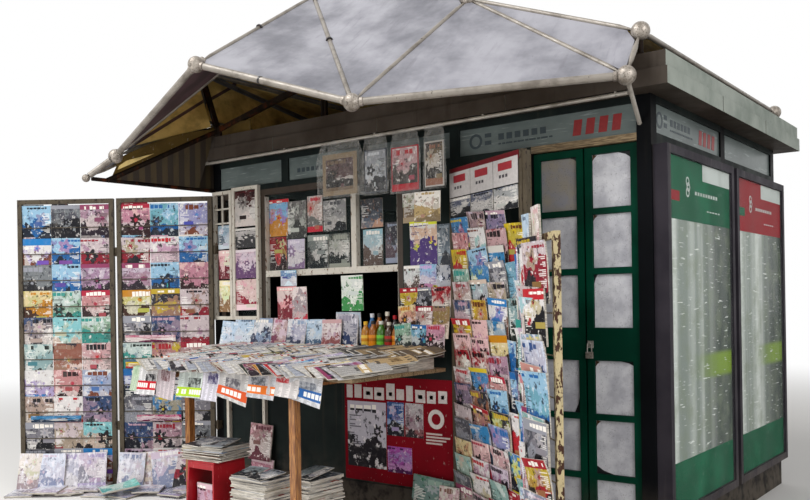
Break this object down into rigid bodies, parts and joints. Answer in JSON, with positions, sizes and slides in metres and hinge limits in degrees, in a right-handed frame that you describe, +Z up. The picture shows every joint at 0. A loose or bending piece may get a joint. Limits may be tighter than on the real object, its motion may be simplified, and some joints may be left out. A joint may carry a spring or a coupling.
{
  "type": "street kiosk",
  "caption": "Steel newspaper kiosk with a serving hatch, narrow paired doors, flank light boxes, opened goods racks, a display table and a folded tube and panel canopy.",
  "frame": {"origin": "on the ground at the middle of the deck", "axes": "+Z up, the front with hatch and doors faces -Y, the light boxes are on the +X flank"},
  "size_m": [4.8824, 3.66, 3.59],
  "materials": {
    "deck_steel": "worn matt paint",
    "skirting_paint": "dusty matt paint",
    "wall_paint": "satin charcoal paint",
    "post_paint": "satin charcoal paint",
    "sign_sheet": "translucent grey-green sheet",
    "tan_board": "matt stained board",
    "fascia_metal": "weathered grey paint",
    "white_paint": "satin white paint",
    "clear_glass": "clear",
    "door_green": "satin dark green paint",
    "papered_pane": "papered sheet",
    "hinge_steel": "dull",
    "box_metal": "satin grey paint",
    "poster_glass": "clear over a printed sheet",
    "slat_wood": "bare planed wood",
    "prop_wood": "bare wood",
    "rack_steel": "worn khaki paint",
    "cream_steel": "cream paint with rust",
    "cover_print": "glossy print",
    "news_print": "matt newsprint",
    "drink_bottle": "clear tinted",
    "red_plastic": "worn gloss",
    "tube_metal": "satin",
    "cast_node": "sand cast",
    "canopy_sheet": "grey translucent sheet",
    "lining_sheet": "yellow-brown translucent sheet",
    "dark_steel": "dark brown paint"
  },
  "bodies": {
    "hut": {"floor": "deck_steel", "skirting": "skirting_paint", "posts": "post_paint", "front_lower_wall": "wall_paint", "front_pier": "wall_paint", "left_wall": "wall_paint", "rear_wall": "wall_paint", "right_wall": "wall_paint", "sign_rails": "wall_paint", "sign_panels": "sign_sheet", "door_lintel": "tan_board", "soffit": "fascia_metal", "roof_fascia": "fascia_metal", "roof_deck": "box_metal", "window_frame": "white_paint", "window_sill": "tan_board", "window_glass": "clear_glass", "window_strips": "white_paint", "door_hinges": "hinge_steel", "light_boxes": "box_metal", "light_box_glass": "poster_glass", "table_slats": "slat_wood", "table_battens": "prop_wood", "rack_outer": "rack_steel", "rack_inner": "rack_steel", "rack_right": "rack_steel", "rack_side": "cream_steel", "left_rack_magazines": "cover_print", "right_rack_magazines": "cover_print", "window_magazines": "cover_print", "table_newspapers": "news_print", "bottles": "drink_bottle", "stool": "red_plastic", "stacks": "news_print", "canopy_tubes": "tube_metal", "canopy_balls": "cast_node", "canopy_panels": "canopy_sheet", "canopy_lining": "lining_sheet", "canopy_side": "lining_sheet", "canopy_beams": "dark_steel", "hanging_rail": "tube_metal"},
    "left_leaf": {"door_left": "door_green", "door_left_panes": "papered_pane"},
    "right_leaf": {"door_right": "door_green", "door_right_panes": "papered_pane"}
  },
  "joints": [
    {"name": "left_leaf_hinge", "type": "hinge", "parent": "hut", "child": "left_leaf", "pos_m": [1.051, -1.138, 1.152], "axis": [0, 0, 1], "range_deg": [0, 90]},
    {"name": "right_leaf_hinge", "type": "hinge", "parent": "hut", "child": "right_leaf", "pos_m": [1.669, -1.138, 1.152], "axis": [0, 0, -1], "range_deg": [0, 90]}
  ]
}
